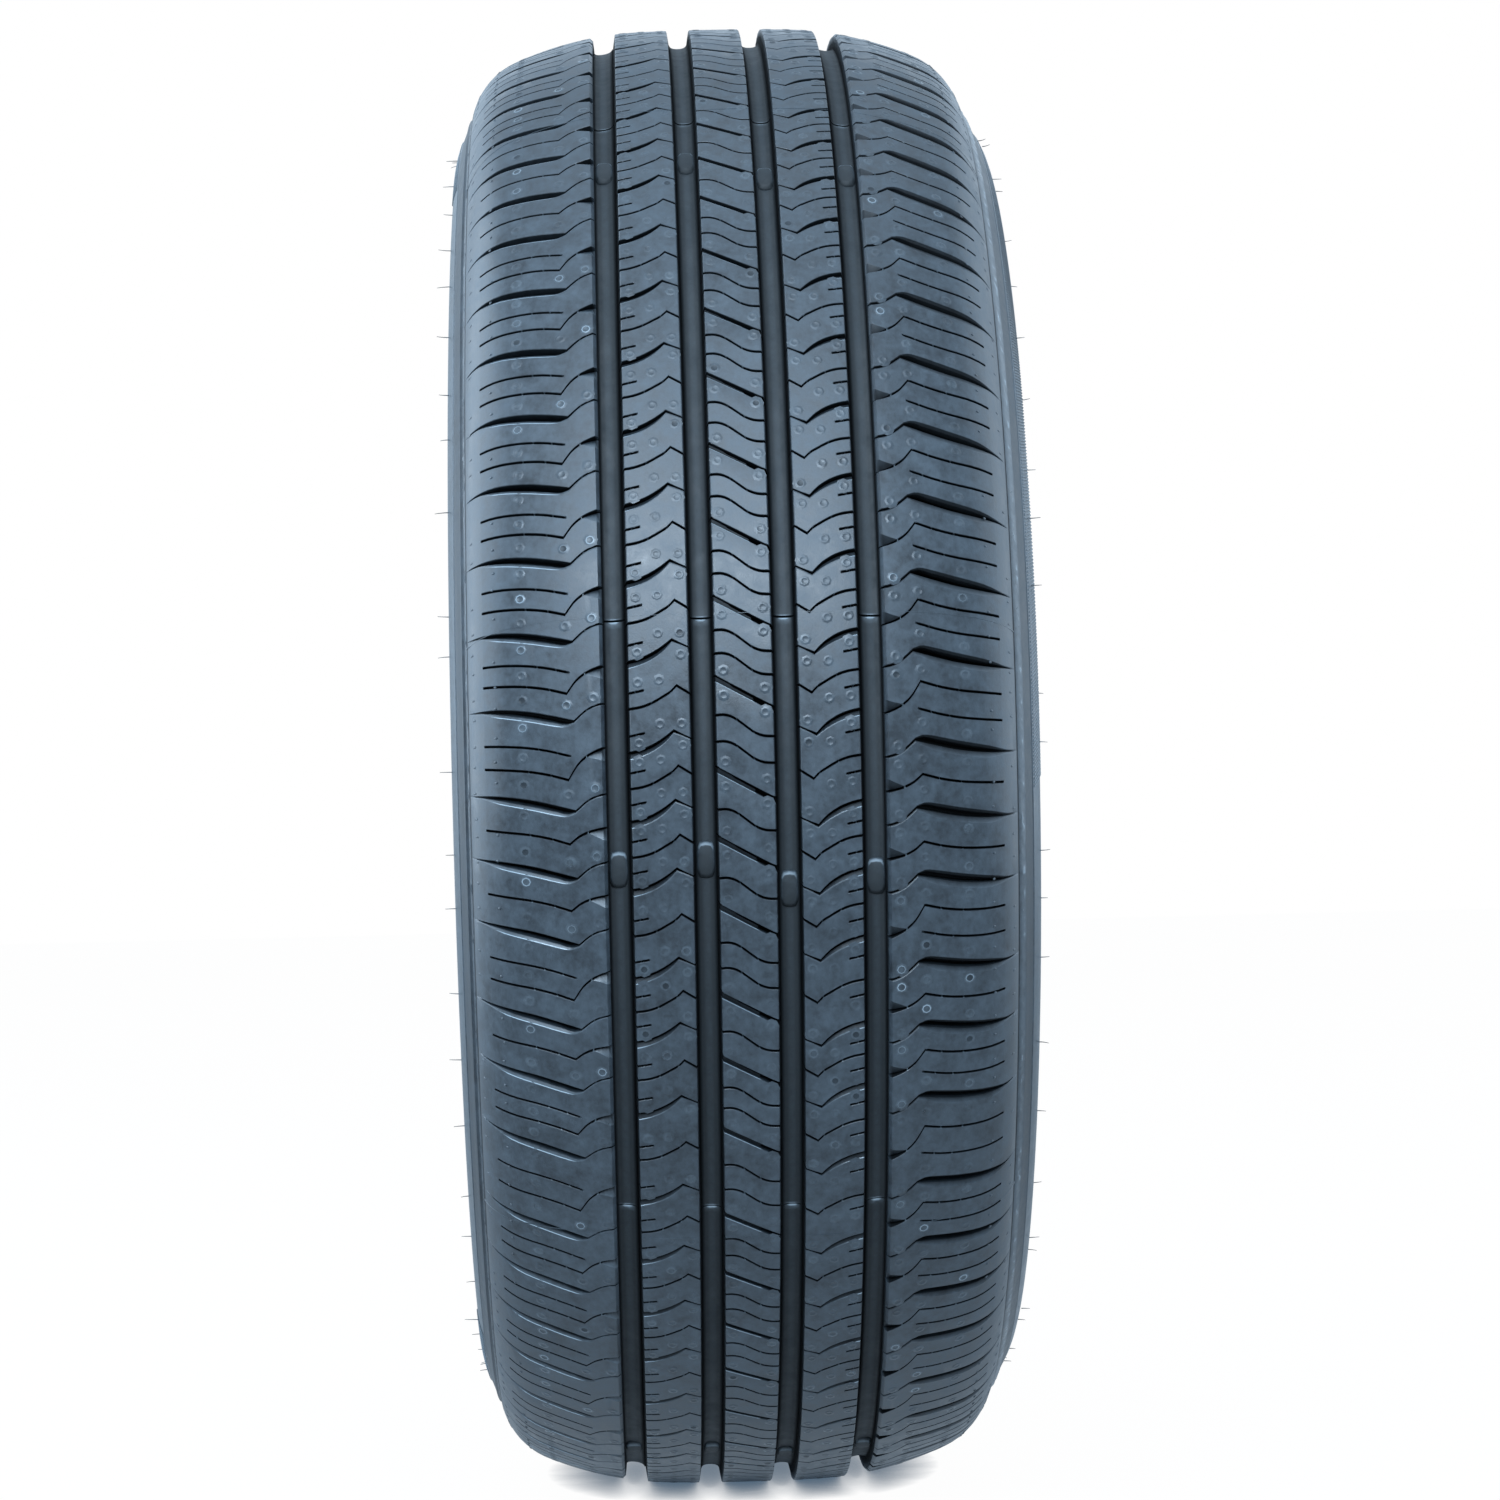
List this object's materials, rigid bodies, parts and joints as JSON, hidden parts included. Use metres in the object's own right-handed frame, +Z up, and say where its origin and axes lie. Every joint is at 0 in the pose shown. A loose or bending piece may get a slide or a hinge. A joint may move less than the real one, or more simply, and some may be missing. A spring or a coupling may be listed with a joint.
{
  "type": "car tyre",
  "caption": "Passenger car tyre with a five-rib road tread, straight and cross grooves, shoulder ridges and rim guards.",
  "frame": {"origin": "the wheel's centre: on the axle line, midway between the sidewalls", "axes": "+Y along the axle, +Z up, with the pressed foot of the tread facing -Z"},
  "size_m": [0.669, 0.234, 0.6671],
  "materials": {
    "tyre_rubber": "semi-matt moulded tread rubber with a soft sheen"
  },
  "bodies": {
    "root": {"tyre": "tyre_rubber"}
  },
  "joints": []
}
